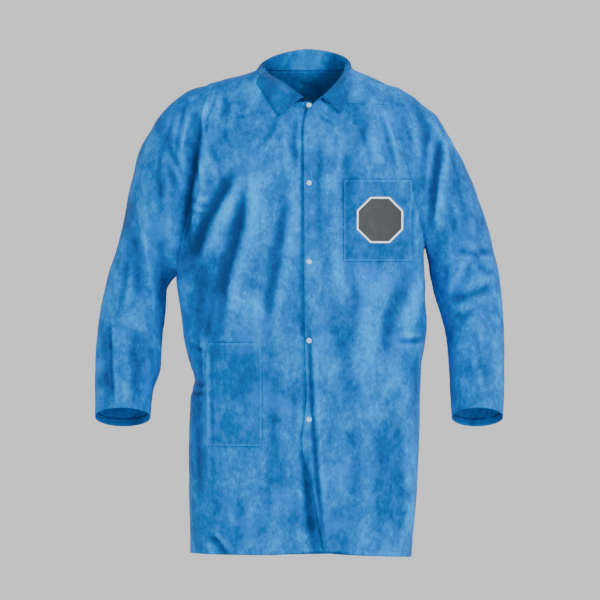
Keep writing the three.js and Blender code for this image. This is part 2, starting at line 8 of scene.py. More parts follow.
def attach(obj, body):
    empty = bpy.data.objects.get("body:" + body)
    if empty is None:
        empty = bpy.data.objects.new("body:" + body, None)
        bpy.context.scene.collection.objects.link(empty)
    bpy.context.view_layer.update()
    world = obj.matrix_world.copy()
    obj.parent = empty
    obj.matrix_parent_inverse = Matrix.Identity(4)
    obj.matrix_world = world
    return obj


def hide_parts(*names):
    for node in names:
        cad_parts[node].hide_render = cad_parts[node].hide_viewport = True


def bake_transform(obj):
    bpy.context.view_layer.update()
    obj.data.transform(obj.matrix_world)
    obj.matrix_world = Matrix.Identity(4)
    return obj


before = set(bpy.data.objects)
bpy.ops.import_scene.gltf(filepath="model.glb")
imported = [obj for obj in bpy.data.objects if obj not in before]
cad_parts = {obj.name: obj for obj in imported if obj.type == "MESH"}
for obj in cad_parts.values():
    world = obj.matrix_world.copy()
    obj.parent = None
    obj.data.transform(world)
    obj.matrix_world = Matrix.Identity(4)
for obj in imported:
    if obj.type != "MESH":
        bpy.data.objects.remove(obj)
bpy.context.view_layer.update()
print("frame loaded")

# Sizes below are in millimetres: -Y is the front, +X the wearer's left, 0 is between the shoulders.
mm = 0.001

def smoothCurve(points):
    # runs through (place, value) pairs without overshooting, straight past its ends
    rows = sorted(points)
    xs = [row[0] for row in rows]
    ys = [row[1] for row in rows]
    secants = [(ys[i + 1] - ys[i]) / (xs[i + 1] - xs[i]) for i in range(len(xs) - 1)]
    slopes = [secants[0]]
    for before, after in zip(secants, secants[1:]):
        slopes.append(0 if before * after <= 0 else 2 * before * after / (before + after))
    slopes.append(secants[-1])
    def value(at):
        if at <= xs[0]:
            return ys[0] + slopes[0] * (at - xs[0])
        if at >= xs[-1]:
            return ys[-1] + slopes[-1] * (at - xs[-1])
        i = 0
        while at > xs[i + 1]:
            i += 1
        span = xs[i + 1] - xs[i]
        t = (at - xs[i]) / span
        lift = t * t * (3 - 2 * t)
        bend = t * (1 - t) * span
        return ys[i] + (ys[i + 1] - ys[i]) * lift + bend * ((1 - t) * slopes[i] - t * slopes[i + 1])
    return value

def lerp(a, b, t):
    return a + (b - a) * t

def smooth(x, low, high):
    # 0 at low, 1 at high, level at both
    t = min(max((x - low) / (high - low), 0), 1)
    return t * t * (3 - 2 * t)

# ---- body: level rings, wider at the wearer's right shoulder where the coat hangs off it
body = {
    "depth": 150,
    "leftWidth": [(36, 84), (30, 93), (21, 113), (10, 138), (-5, 168), (-25, 206), (-50, 225), (-100, 238),
                  (-200, 242), (-306, 233), (-330, 229), (-409, 231), (-468, 236), (-505, 232), (-545, 224),
                  (-620, 221), (-700, 219), (-790, 215), (-877, 207), (-922, 205)],
    "rightWidth": [(36, 86), (30, 97), (21, 118), (10, 160), (-2, 198), (-14, 218), (-50, 240), (-100, 247),
                   (-200, 250), (-300, 252), (-375, 252), (-439, 244), (-497, 237), (-535, 228), (-572, 217),
                   (-614, 225), (-712, 228), (-912, 226)],
    "depthShare": [(36, 0.38), (30, 0.42), (-5, 0.57), (-36, 0.68), (-100, 0.88), (-160, 1.0), (-915, 1.0)],
    "squareness": [(30, 3.0), (-100, 4.0), (-200, 4.2), (-380, 4.0), (-560, 3.4), (-915, 3.2)],
    "neckHalfWidth": 92, "neckRise": 30, "neckDrop": 36,
    # x of the armhole at the shoulder, and how far it runs outwards for each mm down
    "leftArmhole": (155, 0.25), "rightArmhole": (190, 0.172),
    "leftFlapLine": ((-7, -205), (129, -915)), "rightFlapLine": ((18, -354), (-112, -915)),
}
widthLeft = smoothCurve(body["leftWidth"])
widthRight = smoothCurve(body["rightWidth"])
depthShare = smoothCurve(body["depthShare"])
squareness = smoothCurve(body["squareness"])

def bodyPoint(angle, z):
    n = squareness(z)
    c = cos(angle)
    s = sin(angle)
    radius = (abs(c) ** n + abs(s) ** n) ** (1 / n)
    width = widthLeft(z) if c >= 0 else widthRight(z)
    return Vector((width * c / radius, body["depth"] * depthShare(z) * s / radius, z))

def angleAt(x, z, back=False):
    n = squareness(z)
    width = widthLeft(z) if x >= 0 else widthRight(z)
    u = min(max(x / width, -1), 1)
    v = (1 - abs(u) ** n) ** (1 / n)
    return atan2(v if back else -v, u)

def offsetPoint(surface, u, v, distance, du=1e-3, dv=1e-3):
    along = surface(u + du, v) - surface(u - du, v)
    across = surface(u, v + dv) - surface(u, v - dv)
    return surface(u, v) + along.cross(across).normalized() * distance

def bodyOffset(angle, z, distance):
    return offsetPoint(bodyPoint, angle, z, distance, 1e-3, 0.5)

def armholeX(side, z):
    start, slope = body[side + "Armhole"]
    return start + slope * (-5 - z)

def crossing(side, low, high):
    # height where the armhole plane meets the side of the body
    width = widthLeft if side == "left" else widthRight
    gapAt = lambda z: width(z) - armholeX(side, z)
    for _ in range(50):
        middle = (low + high) / 2
        if gapAt(low) * gapAt(middle) <= 0:
            high = middle
        else:
            low = middle
    return (low + high) / 2

armpitZ = {side: crossing(side, -420, -150) for side in ("left", "right")}
shoulderZ = {side: crossing(side, -60, 25) for side in ("left", "right")}

def sideAngle(side, z, back):
    # the side edge of a panel: the armhole above the armpit, rounding into the side seam below it
    if z > shoulderZ[side] or z <= armpitZ[side]:
        turn = 0.0
    elif side == "left":
        turn = abs(angleAt(armholeX(side, z), z, back))
    else:
        turn = pi - abs(angleAt(-armholeX(side, z), z, back))
    turn *= smooth(z, armpitZ[side], armpitZ[side] + 45)
    if side == "left":
        return turn if back else -turn
    return pi - turn if back else -pi + turn

# ---- folds of the front: lines over the cloth in x and z, each pushed in (or out) over a width; sculpt also keeps the push in "fold", which paints shade into the cloth's colour along the valleys and a highlight on the ridges
folds = [
    {"line": [(-219, -45), (-207, -78), (-213, -136), (-220, -177), (-226, -217), (-229, -262), (-236, -330)],
     "in": 9, "width": 9},
    {"line": [(-173, -18), (-186, -45), (-200, -72)], "in": -4, "width": 12},
    {"line": [(-124, -150), (-150, -190), (-202, -281), (-236, -372)], "in": 8, "width": 12},
    {"line": [(-198, -250), (-206, -330), (-203, -420), (-206, -500)], "in": 6, "width": 20, "flat": True},
    {"line": [(-80, -170), (-132, -215), (-168, -290), (-196, -356)], "in": -4, "width": 16},
    {"line": [(-222, -222), (-205, -236), (-188, -240)], "in": 3.5, "width": 5},
    {"line": [(-224, -246), (-208, -256), (-192, -254)], "in": 3, "width": 5},
    {"line": [(-116, -150), (-123, -203), (-132, -281), (-158, -369), (-170, -450), (-178, -520)],
     "in": 8, "width": 13},
    {"line": [(-94, -180), (-100, -260), (-108, -350)], "in": -4, "width": 16, "flat": True},
    {"line": [(-175, -386), (-187, -454), (-196, -507)], "in": 3.5, "width": 6},
    {"line": [(-35, -205), (-42, -250), (-56, -325), (-70, -409), (-76, -470)], "in": 5.5, "width": 11},
    {"line": [(-250, -572), (-222, -578), (-204, -582), (-188, -580)], "in": 2.6, "width": 6},
    {"line": [(-240, -545), (-214, -552), (-190, -556)], "in": -1.5, "width": 7},
    {"line": [(225, -498), (196, -500), (172, -499)], "in": 5, "width": 4},
    {"line": [(228, -487), (200, -488), (176, -489)], "in": -3, "width": 5},
    {"line": [(60, -120), (84, -185), (74, -250)], "in": 2.5, "width": 12},
    {"line": [(120, -75), (96, -118), (88, -170)], "in": 2.5, "width": 12},
    {"line": [(212, -352), (176, -420), (150, -520)], "in": 4, "width": 15},
    {"line": [(222, -366), (206, -430), (196, -520)], "in": -3.5, "width": 12},
    {"line": [(60, -410), (78, -520), (84, -640)], "in": 3, "width": 18},
    {"line": [(170, -560), (160, -680), (166, -800), (178, -915)], "in": 2.5, "width": 20},
    {"line": [(120, -600), (112, -730), (106, -915)], "in": -1.2, "width": 20},
    {"line": [(-187, -505), (-188, -610), (-187, -720), (-183, -815)], "in": -3, "width": 3},
    {"line": [(-206, -560), (-208, -680), (-204, -830)], "in": 4, "width": 9, "flat": True},
    {"line": [(208, -640), (204, -760), (198, -915)], "in": -1.6, "width": 13},
    {"line": [(-60, -560), (-52, -700), (-46, -915)], "in": 2, "width": 16},
        {"line": [(-186, -868), (-170, -884), (-150, -912)], "in": 5, "width": 5},
    {"line": [(-196, -880), (-183, -900), (-180, -915)], "in": -3.5, "width": 6},
        {"line": [(30, -215), (44, -300), (40, -380)], "in": 2.2, "width": 10},
    {"line": [(-20, -130), (-26, -240), (-18, -330)], "in": -2, "width": 12},
    {"line": [(150, -360), (128, -440), (122, -540)], "in": -3, "width": 16},
    {"line": [(-170, -8), (-178, -40), (-190, -66), (-193, -110)], "in": 3.5, "width": 3.5},
    {"line": [(-160, -14), (-168, -50), (-176, -96)], "in": -3, "width": 3.5},
    {"line": [(-188, -30), (-196, -60), (-203, -96)], "in": -3.5, "width": 3.5},
    {"line": [(-150, -30), (-156, -80), (-158, -120)], "in": 2.5, "width": 6},
    {"line": [(-199, -120), (-180, -165), (-172, -208)], "in": -3, "width": 6},
    {"line": [(-214, -150), (-206, -200), (-214, -236)], "in": 4, "width": 5},
    {"line": [(-52, -52), (-62, -84), (-82, -116), (-110, -150)], "in": 3, "width": 7},
    {"line": [(-20, -60), (-24, -110), (-20, -170)], "in": 3, "width": 5},
    {"line": [(-36, -60), (-40, -120), (-36, -180)], "in": -2.5, "width": 8},
    {"line": [(52, -58), (66, -120), (60, -190)], "in": -2, "width": 8},
    {"line": [(150, -60), (166, -110), (176, -150)], "in": -3, "width": 4},
    {"line": [(138, -50), (152, -96), (166, -150), (172, -184)], "in": 3, "width": 5},
    {"line": [(112, -60), (132, -120), (146, -176)], "in": -2, "width": 7},
    {"line": [(104, -82), (118, -130), (124, -172)], "in": 3, "width": 6},
    {"line": [(20, -70), (26, -150), (22, -250), (30, -360)], "in": 2.5, "width": 8},
    {"line": [(206, -230), (204, -290), (208, -350)], "in": 3.5, "width": 4},
    {"line": [(50, -240), (56, -330), (64, -420)], "in": -2.5, "width": 10},
    {"line": [(88, -350), (96, -420), (92, -500)], "in": 3, "width": 9},
    {"line": [(-92, -400), (-98, -480), (-94, -560)], "in": -2.5, "width": 12},
    {"line": [(-214, -480), (-206, -530), (-200, -580)], "in": 4, "width": 6},
    {"line": [(-226, -500), (-212, -514), (-196, -516)], "in": 3.5, "width": 4},
    {"line": [(-232, -590), (-212, -600), (-196, -596)], "in": 3.5, "width": 4},
    {"line": [(-60, -600), (-66, -700), (-72, -790), (-80, -905)], "in": 2.2, "width": 9},
    {"line": [(-20, -560), (-26, -680), (-20, -800), (-26, -905)], "in": 2.2, "width": 8},
    {"line": [(-130, -740), (-126, -820), (-132, -905)], "in": 2, "width": 9},
    {"line": [(3.6, -440), (7, -520), (10, -590), (12.6, -645), (21, -760), (30, -850), (34, -900)],
     "in": 6, "width": 4.5},
    # pushes the right front back below the lower corner of the left front, and paints shade there through "fold"
    {"line": [(-6, -690), (-1, -760), (8, -850), (16, -905)], "in": 6, "width": 10, "flat": True},
    {"line": [(96, -610), (92, -720), (90, -900)], "in": 1.8, "width": 10},
    {"line": [(138, -640), (142, -760), (136, -900)], "in": 1.4, "width": 11},
    {"line": [(186, -640), (184, -760), (190, -900)], "in": 2, "width": 9},
    {"line": [(212, -520), (214, -600), (208, -700)], "in": 3, "width": 7},
]

def foldDepth(xs, zs, group):
    # how far each place moves inwards, in mm; a fold fades over its last quarter
    total = np.zeros(len(xs))
    for fold in group:
        points = fold["line"]
        width = fold["width"]
        best = np.full(len(xs), 1e9)
        share = np.zeros(len(xs))
        sideways = np.zeros(len(xs))
        lengths = [np.hypot(b[0] - a[0], b[1] - a[1]) for a, b in zip(points, points[1:])]
        whole = sum(lengths)
        run = 0
        for (ax, az), (bx, bz), length in zip(points, points[1:], lengths):
            dx, dz = (bx - ax) / length, (bz - az) / length
            along = np.clip((xs - ax) * dx + (zs - az) * dz, 0, length)
            gx, gz = xs - (ax + along * dx), zs - (az + along * dz)
            distance = np.hypot(gx, gz)
            nearer = distance < best
            best = np.where(nearer, distance, best)
            share = np.where(nearer, (run + along) / whole, share)
            sideways = np.where(nearer, gx * -dz + gz * dx, sideways)
            run += length
        fade = np.clip(np.minimum(share, 1 - share) / 0.25, 0, 1)
        fade = fade * fade * (3 - 2 * fade) * 0.85 + 0.15 * (best < width * 3)
        valley = np.exp(-(best / width) ** 2)
        shoulder = np.exp(-((sideways - 1.9 * width) / (1.2 * width)) ** 2) * (best < width * 5)
        total += fold["in"] * fade * (valley - (0 if fold.get("flat") else 0.45) * shoulder)
    return total

def wrinkle(point, size, seed):
    spot = Vector((point.x / size, point.y / size, point.z / (size * 1.7)))
    return noise.fractal(spot + Vector((seed, 0, 0)), 1.0, 2.0, 3)

# ---- cloth sheets
def clothGrid(name, columns, rows, place, wrap=False):
    # place(u, v) gives a point in mm; the sheet's own "cut" map holds metres along and across the cloth
    bm = bmesh.new()
    bmesh.ops.create_grid(bm, x_segments=columns, y_segments=rows, size=0.5)
    spots = {vert: (vert.co.x + 0.5, vert.co.y + 0.5) for vert in bm.verts}
    for vert, (u, v) in spots.items():
        vert.co = place(u, v) * mm
    uvLayer = bm.loops.layers.uv.new("cut")
    middle = [place(0.5, k / 20) for k in range(21)]
    tall = sum((b - a).length for a, b in zip(middle, middle[1:])) * mm
    level = [place(k / 20, 0.5) for k in range(21)]
    wide = sum((b - a).length for a, b in zip(level, level[1:])) * mm
    for face in bm.faces:
        for loop in face.loops:
            u, v = spots[loop.vert]
            loop[uvLayer].uv = (u * wide, v * tall)
    if wrap:
        bmesh.ops.remove_doubles(bm, verts=bm.verts, dist=1e-6)
    bm.normal_update()
    return bm

def finishCloth(bm, name, material, outwards, thickness=0.5):
    # turns the faces outwards (away from a point of the middle line), then makes the object
    centres = [(face, face.calc_center_median()) for face in bm.faces]
    turn = sum(face.normal.dot(centre - outwards(centre)) for face, centre in centres)
    if turn < 0:
        bmesh.ops.reverse_faces(bm, faces=bm.faces)
    mesh = bpy.data.meshes.new(name)
    bm.to_mesh(mesh)
    bm.free()
    for polygon in mesh.polygons:
        polygon.use_smooth = True
    piece = bpy.data.objects.new(name, mesh)
    bpy.context.collection.objects.link(piece)
    mesh.materials.append(material)
    if thickness:
        wall = piece.modifiers.new("cloth thickness", "SOLIDIFY")
        wall.thickness = thickness * mm
        wall.offset = -1
    return piece

def bodyAxis(point):
    return Vector((point.x * 0.3, 0, point.z))

drift = {"size": 60, "front": 0.9, "back": 1.6, "seed": 3.0, "fineShare": 0.35}

def crinkle(spot):
    # small sharp creases, longer down the cloth than across it
    place = Vector((spot.x / 26, spot.y / 26, spot.z / 60))
    first = 1 - abs(noise.noise(place)) * 3.2
    second = 1 - abs(noise.noise(place * 2.3 + Vector((7, 0, 0)))) * 3.4
    return max(first, 0) ** 2 * 0.8 + max(second, 0) ** 2 * 0.45

def clothShift(spot, inwards):
    # how the body's cloth moves at a place, folds drawn over the front and soft uneven waves everywhere
    facing = smooth(-spot.y, -10, 40)
    amount = lerp(drift["back"], drift["front"], facing)
    wave = wrinkle(spot, drift["size"], drift["seed"])
    wave += wrinkle(spot, drift["size"] * 0.3, 10.0) * drift["fineShare"]
    out = Vector((spot.x * 0.3, spot.y, 0)).normalized()
    return out * (wave * amount - crinkle(spot) - inwards * facing)

# the point layer "fold" that the cloth's colour reads for painted shade in creases and a painted highlight on ridges
def paintedShadeLayer(mesh):
    return mesh.verts.layers.float.get("fold") or mesh.verts.layers.float.new("fold")

def sculpt(bm, sleeve=None):
    # "fold" keeps how far each place was pushed in, plus the small crinkles, for painted shade along creases and a
    # painted highlight on ridges in the cloth's colour
    layer = paintedShadeLayer(bm)
    verts = list(bm.verts)
    xs = np.array([vert.co.x / mm for vert in verts])
    zs = np.array([vert.co.z / mm for vert in verts])
    bodyPush = foldDepth(xs, zs, folds)
    for vert, push in zip(verts, bodyPush):
        spot = vert.co / mm
        vert[layer] = push * smooth(-spot.y, -10, 40) + crinkle(spot) - 0.25
        vert.co += clothShift(spot, push) * mm
    return bm

# ---- materials
def linearColour(code):
    parts = [int(code[i:i + 2], 16) / 255 for i in (1, 3, 5)]
    return tuple(c / 12.92 if c <= 0.04045 else ((c + 0.055) / 1.055) ** 2.4 for c in parts) + (1,)

def addNode(tree, kind, inputs=None, **settings):
    node = tree.nodes.new(kind)
    for key, value in settings.items():
        setattr(node, key, value)
    for key, value in (inputs or {}).items():
        if isinstance(value, bpy.types.NodeSocket):
            tree.links.new(value, node.inputs[key])
        else:
            node.inputs[key].default_value = value
    return node

def newMaterial(name):
    material = bpy.data.materials.new(name)
    material.use_nodes = True
    tree = material.node_tree
    tree.nodes.clear()
    shader = addNode(tree, "ShaderNodeBsdfPrincipled")
    addNode(tree, "ShaderNodeOutputMaterial", {"Surface": shader.outputs["BSDF"]})
    return material, tree, shader

def spunbondPolypropylene(name, deep, middle, light, creaseShade, cloudMix=1.0):
    # three-layer spunbond cloth: dyed fibres laid in clouds and pressed with small bond points,
    # so it looks mottled from afar, matt, with a dry fibrous grain close up; on top of that it paints shade into
    # creases, towards the crease shade colour, and a highlight on ridges, read from "fold"
    material, tree, shader = newMaterial(name)
    place = addNode(tree, "ShaderNodeTexCoord").outputs["Object"]
    stretched = addNode(tree, "ShaderNodeMapping", {"Vector": place, "Scale": (1, 1, 0.75)}).outputs["Vector"]
    clouds = addNode(tree, "ShaderNodeTexNoise", {"Vector": stretched, "Scale": 26, "Detail": 6, "Roughness": 0.6,
                                                  "Distortion": 0.6})  # 45 mm clouds
    drifts = addNode(tree, "ShaderNodeTexNoise", {"Vector": place, "Scale": 8, "Detail": 2, "Roughness": 0.5})
    specks = addNode(tree, "ShaderNodeTexNoise", {"Vector": stretched, "Scale": 120, "Detail": 4,
                                                  "Roughness": 0.7})
    fibreMap = addNode(tree, "ShaderNodeMapping", {"Vector": place, "Scale": (1, 1, 0.22),
                                                   "Rotation": (0, 0.5, 0)})
    fibres = addNode(tree, "ShaderNodeTexNoise", {"Vector": fibreMap.outputs["Vector"], "Scale": 620, "Detail": 3,
                                                  "Roughness": 0.6})  # drawn coarser than the real 0.02 mm fibre
    # bond points 1.5 mm apart
    bonds = addNode(tree, "ShaderNodeTexVoronoi", {"Vector": place, "Scale": 650}, feature="F1")
    mixed = addNode(tree, "ShaderNodeMath", {0: drifts.outputs["Fac"], 1: 0.45}, operation="MULTIPLY")
    mixed = addNode(tree, "ShaderNodeMath", {0: clouds.outputs["Fac"], 1: 0.85, 2: mixed.outputs[0]},
                    operation="MULTIPLY_ADD")
    mixed = addNode(tree, "ShaderNodeMath", {0: specks.outputs["Fac"], 1: 0.6, 2: mixed.outputs[0]},
                    operation="MULTIPLY_ADD")
    mixed = addNode(tree, "ShaderNodeMath", {0: fibres.outputs["Fac"], 1: 0.45, 2: mixed.outputs[0]},
                    operation="MULTIPLY_ADD")
    # painted shade and highlight: "fold" darkens the colour along creases and lightens it on ridges
    paintedFoldShade = addNode(tree, "ShaderNodeAttribute", attribute_name="fold").outputs["Fac"]
    mixed = addNode(tree, "ShaderNodeMath", {0: paintedFoldShade, 1: -0.05, 2: mixed.outputs[0]},
                    operation="MULTIPLY_ADD")
    spread = addNode(tree, "ShaderNodeMapRange", {"Value": mixed.outputs[0], "From Min": 1.18 - 0.32 / cloudMix,
                                                  "From Max": 1.18 + 0.32 / cloudMix})
    ramp = addNode(tree, "ShaderNodeValToRGB", {"Fac": spread.outputs["Result"]})
    ramp.color_ramp.elements[0].color = linearColour(deep)
    ramp.color_ramp.elements[1].color = linearColour(light)
    ramp.color_ramp.elements.new(0.5).color = linearColour(middle)
    tint = addNode(tree, "ShaderNodeTexNoise", {"Vector": place, "Scale": 14, "Detail": 3, "Roughness": 0.6})
    tintAmount = addNode(tree, "ShaderNodeMapRange", {"Value": tint.outputs["Fac"], "From Min": 0.52, "From Max": 0.72,
                                                      "To Max": 0.5})
    base = addNode(tree, "ShaderNodeMix", {"Factor": tintAmount.outputs["Result"], "A": ramp.outputs["Color"],
                                           "B": linearColour("#147ae0")}, data_type="RGBA")
    # painted shade: deep creases are pulled towards the crease shade colour
    valley = addNode(tree, "ShaderNodeMapRange", {"Value": paintedFoldShade, "From Min": 0.6, "From Max": 9.0,
                                                  "To Max": 0.6})
    base = addNode(tree, "ShaderNodeMix", {"Factor": valley.outputs["Result"], "A": base.outputs[2],
                                           "B": linearColour(creaseShade)}, data_type="RGBA")
    tree.links.new(base.outputs[2], shader.inputs["Base Color"])
    height = addNode(tree, "ShaderNodeMath", {0: bonds.outputs["Distance"], 1: 0.5, 2: fibres.outputs["Fac"]},
                     operation="MULTIPLY_ADD")
    height = addNode(tree, "ShaderNodeMath", {0: specks.outputs["Fac"], 1: 1.2, 2: height.outputs[0]},
                     operation="MULTIPLY_ADD")
    relief = addNode(tree, "ShaderNodeBump", {"Height": height.outputs[0], "Strength": 0.35, "Distance": 0.0006})
    tree.links.new(relief.outputs["Normal"], shader.inputs["Normal"])
    shader.inputs["Roughness"].default_value = 0.72
    shader.inputs["IOR"].default_value = 1.49
    shader.inputs["Specular IOR Level"].default_value = 0.12
    shader.inputs["Sheen Weight"].default_value = 0.02
    shader.inputs["Sheen Roughness"].default_value = 0.5
    return material

# the last colour given to each cloth is the painted shade for its creases
bodyCloth = spunbondPolypropylene("dyed spunbond polypropylene, body", "#00427f", "#0066b4", "#0096e6",
                                  "#00264f")
sleeveCloth = spunbondPolypropylene("dyed spunbond polypropylene, sleeves",
                                    "#003e7b", "#0062b0", "#0092e2", "#002450", 0.95)
trimCloth = spunbondPolypropylene("dyed spunbond polypropylene, doubled",
                                  "#00396f", "#0059a2", "#0083ce", "#002044", 0.8)
collarCloth = spunbondPolypropylene("dyed spunbond polypropylene, collar",
                                    "#002d5e", "#004a8b", "#0672b6", "#001c40", 0.8)
pocketCloth = spunbondPolypropylene("dyed spunbond polypropylene, pockets",
                                    "#00366c", "#0059a0", "#0084d0", "#001e44", 0.9)

def mouldedAcetal():
    # injection-moulded acetal: milky white, slightly soft gloss, faint flow unevenness
    material, tree, shader = newMaterial("moulded acetal snap")
    place = addNode(tree, "ShaderNodeTexCoord").outputs["Object"]
    flow = addNode(tree, "ShaderNodeTexNoise", {"Vector": place, "Scale": 400, "Detail": 2})
    shade = addNode(tree, "ShaderNodeMix", {"Factor": flow.outputs["Fac"], "A": linearColour("#8eb2d4"),
                                            "B": linearColour("#bcd2e8")}, data_type="RGBA")
    tree.links.new(shade.outputs[2], shader.inputs["Base Color"])
    relief = addNode(tree, "ShaderNodeBump", {"Height": flow.outputs["Fac"], "Strength": 0.1, "Distance": 0.0002})
    tree.links.new(relief.outputs["Normal"], shader.inputs["Normal"])
    shader.inputs["Roughness"].default_value = 0.35
    shader.inputs["IOR"].default_value = 1.48
    shader.inputs["Subsurface Weight"].default_value = 0.1
    shader.inputs["Subsurface Radius"].default_value = (0.001, 0.001, 0.001)
    return material

def printedFilm(name, dark, light):
    # printed film label: flat ink with a little print mottle under a satin face
    material, tree, shader = newMaterial(name)
    place = addNode(tree, "ShaderNodeTexCoord").outputs["Object"]
    ink = addNode(tree, "ShaderNodeTexNoise", {"Vector": place, "Scale": 900, "Detail": 3})
    shade = addNode(tree, "ShaderNodeMix", {"Factor": ink.outputs["Fac"], "A": linearColour(dark),
                                            "B": linearColour(light)}, data_type="RGBA")
    tree.links.new(shade.outputs[2], shader.inputs["Base Color"])
    relief = addNode(tree, "ShaderNodeBump", {"Height": ink.outputs["Fac"], "Strength": 0.08, "Distance": 0.0002})
    tree.links.new(relief.outputs["Normal"], shader.inputs["Normal"])
    shader.inputs["Roughness"].default_value = 0.45
    shader.inputs["IOR"].default_value = 1.5
    return material

snapPlastic = mouldedAcetal()
labelInk = printedFilm("printed film label, grey ink", "#1b2325", "#2a3437")
labelWhite = printedFilm("printed film label, bare edge", "#dfe5e8", "#f4f7f8")

# ---- fronts
front = {
    "leftEdge": [(-36, 6), (-48, 4.5), (-68, -2), (-94, -5.4), (-130, -4.8), (-381, -4), (-538, -1.2), (-605, 0.7),
                 (-645, -3), (-687, -8), (-710, -6.7), (-768, 9.4), (-888, 32), (-915, 36)],
    "rightEdge": 18, "rightEdgeAtHem": 62, "underDrop": 7.4,
    "seamLevel": [(-200, -88), (-95, -62), (-66, -53), (-35, -38), (-20, -34), (-5, -33), (10.8, -44), (29, -32), (38, -37),
                  (60, -40), (160, -42)],
    "hem": [(-226, -912.6), (-144, -908), (-78, -908), (-12, -901), (12, -901), (51, -908), (120, -914), (205, -919)],
}
leftEdge = smoothCurve(front["leftEdge"])
seamLevel = smoothCurve(front["seamLevel"])
hemLevel = smoothCurve(front["hem"])

def rightEdge(z):
    return lerp(front["rightEdge"], front["rightEdgeAtHem"], smooth(-z, 700, 900))

def underlap(x, z):
    # the right front dips below the left one, and further behind its lower corner
    level = front["underDrop"] * smooth(x, -62, -11)
    return -(level + 7 * smooth(x, -9, -1) * smooth(-z, 700, 860))

def frontPlace(side, u, v, lift=0.0):
    # u runs from the free edge to the side, v from the hem to the yoke seam
    sign = 1 if side == "left" else -1
    xGuess = lerp(8, sign * 170, u)
    level = lerp(-908, -44, v)
    z = level + (hemLevel(sign * lerp(10, 215, u)) + 908) * smooth(v, 0.25, 0)
    z += (seamLevel(xGuess) + 44) * smooth(v, 0.8, 1)
    start = angleAt(leftEdge(z) if side == "left" else rightEdge(z), z)
    end = sideAngle(side, z, False)
    angle = lerp(start, end, u)
    under = underlap(bodyPoint(angle, z).x, z) if side == "right" else 0
    return bodyOffset(angle, z, under + lift)

def buildFront(side):
    bm = clothGrid(side + " front", 84, 250, lambda u, v: frontPlace(side, u, v))
    sculpt(bm)
    return finishCloth(bm, side + "Front", bodyCloth, bodyAxis)

def flapBlend(piece, side):
    (x0, z0), (x1, z1) = body[side + "FlapLine"]
    run = Vector((x1 - x0, 0, z1 - z0)).normalized()
    away = Vector((run.z, 0, -run.x))  # towards the wearer's right
    if side == "right":
        away = -away
    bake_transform(piece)

leftFront = buildFront("left")
rightFront = buildFront("right")
for side, piece in (("left", leftFront), ("right", rightFront)):
    flapBlend(piece, side)
    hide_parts(side + "_front_panel", side + "_front_flap")
print("fronts made")

# ---- back and yoke
def backHemHeight(u):
    # u runs from the wearer's left side seam round the back to the right one
    return lerp(-899, -918 if u < 0.5 else -912, abs(2 * u - 1) ** 2)

def backPlace(u, v, lift=0.0):
    z = lerp(backHemHeight(u), -90.8, v)
    angle = lerp(sideAngle("left", z, True), sideAngle("right", z, True), u)
    return bodyOffset(angle, z, lift)

bm = clothGrid("back", 96, 164, backPlace)
sculpt(bm)
backPanel = finishCloth(bm, "backPanel", bodyCloth, bodyAxis)
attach(backPanel, "torso")
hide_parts("back_panel")

def neckline(q):
    # 0 centre front, 1 beside the neck, 2 centre back, on the wearer's left
    x = body["neckHalfWidth"] * sin(q * pi / 2)
    rise = body["neckDrop"] + body["neckRise"]
    return x, (-body["neckDrop"] + rise * (1 - cos(q * pi / 2)) if q < 1 else body["neckRise"])

def yokeEdge(side, q):
    sign = 1 if side == "left" else -1
    top = shoulderZ[side]
    cornerX = armholeX(side, -45)
    if q < 0.7:
        x = lerp(neckline(0.25)[0], cornerX, (q - 0.25) / 0.45)
        return x, seamLevel(sign * x)
    frontZ = seamLevel(sign * cornerX)
    if q < 1.45:
        z = lerp(frontZ, top, (q - 0.7) / 0.3) if q < 1 else lerp(top, -90, (q - 1) / 0.45)
        return armholeX(side, z), z
    return lerp(armholeX(side, -90), 0, (q - 1.45) / 0.55), -90

def yokePlace(u, v, lift=0.0):
    # u runs from the wearer's right front round the back to the left front, v from the edge to the neck
    turn = lerp(-1, 1, u)
    side = "right" if turn < 0 else "left"
    sign = -1 if turn < 0 else 1
    width = widthLeft if side == "left" else widthRight
    q = 2 - abs(turn) * 1.75
    (x0, z0), (x1, z1) = neckline(q), yokeEdge(side, q)
    t = 1 - v
    z = lerp(z0, z1, t)
    share = lerp(x0 / width(z0), min(x1 / width(z1), 1), t)
    limit = armholeX(side, z) - 1.5 * (1 - t) if z < shoulderZ[side] else 1e9
    x = min(share * width(z), limit)
    return bodyOffset(angleAt(sign * x, z, q > 1), z, lift)

bm = clothGrid("yoke", 220, 44, yokePlace)
sculpt(bm)
shoulderYoke = finishCloth(bm, "shoulderYoke", bodyCloth, lambda p: Vector((p.x * 0.5, 0, -0.2)))
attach(shoulderYoke, "torso")
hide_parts("shoulder_yoke")
print("back and yoke made")

